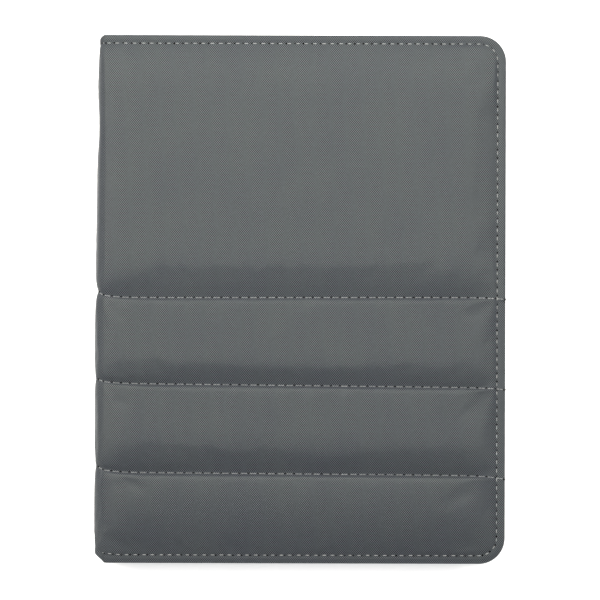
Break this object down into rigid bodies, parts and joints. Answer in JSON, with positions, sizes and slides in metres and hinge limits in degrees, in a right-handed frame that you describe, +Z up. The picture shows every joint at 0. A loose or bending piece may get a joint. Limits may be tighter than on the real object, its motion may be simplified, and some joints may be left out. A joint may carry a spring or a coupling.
{
  "type": "tablet keyboard case",
  "caption": "Padded, quilted folio case for a tablet with a slim wireless keyboard on the front cover, and a hinged tray and stand leg that hold the tablet up for typing.",
  "frame": {"origin": "centre of the underside of the closed case, on the surface that it lies on", "axes": "+Y from tail to head along the spine, +X from the spine to the fore-edge, +Z up from the back cover to the front cover"},
  "size_m": [0.2052, 0.264, 0.0325],
  "materials": {
    "outer_canvas": "plain-weave canvas over padding",
    "lining_cloth": "brushed short nap",
    "foam": "open-cell foam",
    "stiffener": "hard grey-brown board",
    "hinge_webbing": "plain woven tape",
    "elastic": "ribbed elastic webbing",
    "hook_and_loop": "hook and loop pile",
    "keyboard_shell": "fine moulded texture",
    "keycaps": "satin moulded",
    "switch_plastic": "satin moulded",
    "clear_film": "film",
    "dome_rubber": "soft translucent",
    "circuit": "solder mask",
    "battery_foil": "foil pouch",
    "plated_steel": "nickel plated",
    "brass_insert": "turned",
    "light_pipe": "polished clear"
  },
  "bodies": {
    "back_cover": {"back_outer_skin": "outer_canvas", "back_foam_pad": "foam", "back_board": "stiffener", "back_lining": "lining_cloth", "loop_patch": "hook_and_loop", "tray_hinge_strip": "hinge_webbing"},
    "spine": {"spine_outer_skin": "outer_canvas", "spine_foam_pad": "foam", "spine_board": "stiffener", "spine_lining": "lining_cloth", "back_hinge_gusset": "outer_canvas", "front_hinge_gusset": "outer_canvas"},
    "front_cover": {"front_outer_skin": "outer_canvas", "front_foam_pad": "foam", "front_board": "stiffener", "front_lining": "lining_cloth", "keyboard_tape": "clear_film", "keyboard_bottom_case": "keyboard_shell", "keyboard_top_frame": "keyboard_shell", "key_membrane": "clear_film", "dome_sheet": "dome_rubber", "circuit_board": "circuit", "battery": "battery_foil", "usb_socket": "plated_steel", "threaded_standoffs": "brass_insert", "keyboard_screws": "plated_steel", "status_lenses": "light_pipe", "switch_body": "switch_plastic"},
    "tablet_tray": {"tray_board": "stiffener", "tray_face_fabric": "lining_cloth", "tray_back_fabric": "lining_cloth", "leg_hinge_strip": "hinge_webbing", "head_spine_strap": "elastic", "head_fore_strap": "elastic", "tail_spine_strap": "elastic", "tail_fore_strap": "elastic"},
    "stand_leg": {"leg_board": "stiffener", "leg_fabric": "lining_cloth", "leg_hook_strip": "hook_and_loop"},
    "switch_knob": {"power_switch": "switch_plastic"},
    "pairing_button": {"pairing_button": "switch_plastic"},
    "function_keys": {"function_keys": "keycaps"},
    "number_keys": {"number_keys": "keycaps"},
    "backspace_key": {"backspace_key": "keycaps"},
    "tab_key": {"tab_key": "keycaps"},
    "upper_letter_keys": {"upper_letter_keys": "keycaps"},
    "caps_lock_key": {"caps_lock_key": "keycaps"},
    "home_letter_keys": {"home_letter_keys": "keycaps"},
    "enter_key": {"enter_key": "keycaps"},
    "left_shift_key": {"left_shift_key": "keycaps"},
    "lower_letter_keys": {"lower_letter_keys": "keycaps"},
    "right_shift_key": {"right_shift_key": "keycaps"},
    "left_modifier_keys": {"left_modifier_keys": "keycaps"},
    "space_bar": {"space_bar": "keycaps"},
    "right_modifier_keys": {"right_modifier_keys": "keycaps"},
    "arrow_left_key": {"arrow_left_key": "keycaps"},
    "arrow_up_key": {"arrow_up_key": "keycaps"},
    "arrow_down_key": {"arrow_down_key": "keycaps"},
    "arrow_right_key": {"arrow_right_key": "keycaps"}
  },
  "joints": [
    {"name": "cover_opening", "type": "hinge", "parent": "back_cover", "child": "spine", "pos_m": [-0.09738, 0, 0.0052], "axis": [0, -1, 0], "range_deg": [0, 90], "deforming": ["back_hinge_gusset"]},
    {"name": "front_cover_fold", "type": "hinge", "parent": "spine", "child": "front_cover", "pos_m": [-0.09738, 0, 0.02735], "axis": [0, -1, 0], "range_deg": [0, 90], "deforming": ["front_hinge_gusset"]},
    {"name": "tray_lift", "type": "hinge", "parent": "back_cover", "child": "tablet_tray", "pos_m": [-0.09108, 0, 0.0068], "axis": [0, -1, 0], "range_deg": [0, 65], "deforming": ["tray_hinge_strip"]},
    {"name": "leg_swing", "type": "hinge", "parent": "tablet_tray", "child": "stand_leg", "pos_m": [0.00255, 0, 0.0068], "axis": [0, 1, 0], "range_deg": [0, 130], "deforming": ["leg_hinge_strip"]},
    {"name": "power_switch_slide", "type": "slide", "parent": "front_cover", "child": "switch_knob", "axis": [0, 1, 0], "range_m": [0, 0.003]},
    {"name": "pairing_button_press", "type": "slide", "parent": "front_cover", "child": "pairing_button", "axis": [0, 0, 1], "range_m": [0, 0.0006], "stiffness_N_per_m": 500, "springref_m": -0.0003},
    {"name": "function_keys_press", "type": "slide", "parent": "front_cover", "child": "function_keys", "axis": [0, 0, 1], "range_m": [0, 0.0015], "stiffness_N_per_m": 400, "springref_m": -0.0005, "deforming": ["dome_sheet"]},
    {"name": "number_keys_press", "type": "slide", "parent": "front_cover", "child": "number_keys", "axis": [0, 0, 1], "range_m": [0, 0.0015], "stiffness_N_per_m": 400, "springref_m": -0.0005, "deforming": ["dome_sheet"]},
    {"name": "backspace_key_press", "type": "slide", "parent": "front_cover", "child": "backspace_key", "axis": [0, 0, 1], "range_m": [0, 0.0015], "stiffness_N_per_m": 400, "springref_m": -0.0005, "deforming": ["dome_sheet"]},
    {"name": "tab_key_press", "type": "slide", "parent": "front_cover", "child": "tab_key", "axis": [0, 0, 1], "range_m": [0, 0.0015], "stiffness_N_per_m": 400, "springref_m": -0.0005, "deforming": ["dome_sheet"]},
    {"name": "upper_letter_keys_press", "type": "slide", "parent": "front_cover", "child": "upper_letter_keys", "axis": [0, 0, 1], "range_m": [0, 0.0015], "stiffness_N_per_m": 400, "springref_m": -0.0005, "deforming": ["dome_sheet"]},
    {"name": "caps_lock_key_press", "type": "slide", "parent": "front_cover", "child": "caps_lock_key", "axis": [0, 0, 1], "range_m": [0, 0.0015], "stiffness_N_per_m": 400, "springref_m": -0.0005, "deforming": ["dome_sheet"]},
    {"name": "home_letter_keys_press", "type": "slide", "parent": "front_cover", "child": "home_letter_keys", "axis": [0, 0, 1], "range_m": [0, 0.0015], "stiffness_N_per_m": 400, "springref_m": -0.0005, "deforming": ["dome_sheet"]},
    {"name": "enter_key_press", "type": "slide", "parent": "front_cover", "child": "enter_key", "axis": [0, 0, 1], "range_m": [0, 0.0015], "stiffness_N_per_m": 400, "springref_m": -0.0005, "deforming": ["dome_sheet"]},
    {"name": "left_shift_key_press", "type": "slide", "parent": "front_cover", "child": "left_shift_key", "axis": [0, 0, 1], "range_m": [0, 0.0015], "stiffness_N_per_m": 400, "springref_m": -0.0005, "deforming": ["dome_sheet"]},
    {"name": "lower_letter_keys_press", "type": "slide", "parent": "front_cover", "child": "lower_letter_keys", "axis": [0, 0, 1], "range_m": [0, 0.0015], "stiffness_N_per_m": 400, "springref_m": -0.0005, "deforming": ["dome_sheet"]},
    {"name": "right_shift_key_press", "type": "slide", "parent": "front_cover", "child": "right_shift_key", "axis": [0, 0, 1], "range_m": [0, 0.0015], "stiffness_N_per_m": 400, "springref_m": -0.0005, "deforming": ["dome_sheet"]},
    {"name": "left_modifier_keys_press", "type": "slide", "parent": "front_cover", "child": "left_modifier_keys", "axis": [0, 0, 1], "range_m": [0, 0.0015], "stiffness_N_per_m": 400, "springref_m": -0.0005, "deforming": ["dome_sheet"]},
    {"name": "space_bar_press", "type": "slide", "parent": "front_cover", "child": "space_bar", "axis": [0, 0, 1], "range_m": [0, 0.0015], "stiffness_N_per_m": 400, "springref_m": -0.0005, "deforming": ["dome_sheet"]},
    {"name": "right_modifier_keys_press", "type": "slide", "parent": "front_cover", "child": "right_modifier_keys", "axis": [0, 0, 1], "range_m": [0, 0.0015], "stiffness_N_per_m": 400, "springref_m": -0.0005, "deforming": ["dome_sheet"]},
    {"name": "arrow_left_key_press", "type": "slide", "parent": "front_cover", "child": "arrow_left_key", "axis": [0, 0, 1], "range_m": [0, 0.0015], "stiffness_N_per_m": 400, "springref_m": -0.0005, "deforming": ["dome_sheet"]},
    {"name": "arrow_up_key_press", "type": "slide", "parent": "front_cover", "child": "arrow_up_key", "axis": [0, 0, 1], "range_m": [0, 0.0015], "stiffness_N_per_m": 400, "springref_m": -0.0005, "deforming": ["dome_sheet"]},
    {"name": "arrow_down_key_press", "type": "slide", "parent": "front_cover", "child": "arrow_down_key", "axis": [0, 0, 1], "range_m": [0, 0.0015], "stiffness_N_per_m": 400, "springref_m": -0.0005, "deforming": ["dome_sheet"]},
    {"name": "arrow_right_key_press", "type": "slide", "parent": "front_cover", "child": "arrow_right_key", "axis": [0, 0, 1], "range_m": [0, 0.0015], "stiffness_N_per_m": 400, "springref_m": -0.0005, "deforming": ["dome_sheet"]}
  ],
  "couplings": [
    {"joint": "front_cover_fold", "follows": "cover_opening", "ratio": 1},
    {"joint": "tray_lift", "follows": "cover_opening", "ratio": 0.72222},
    {"joint": "leg_swing", "follows": "cover_opening", "ratio": 1.4444}
  ]
}
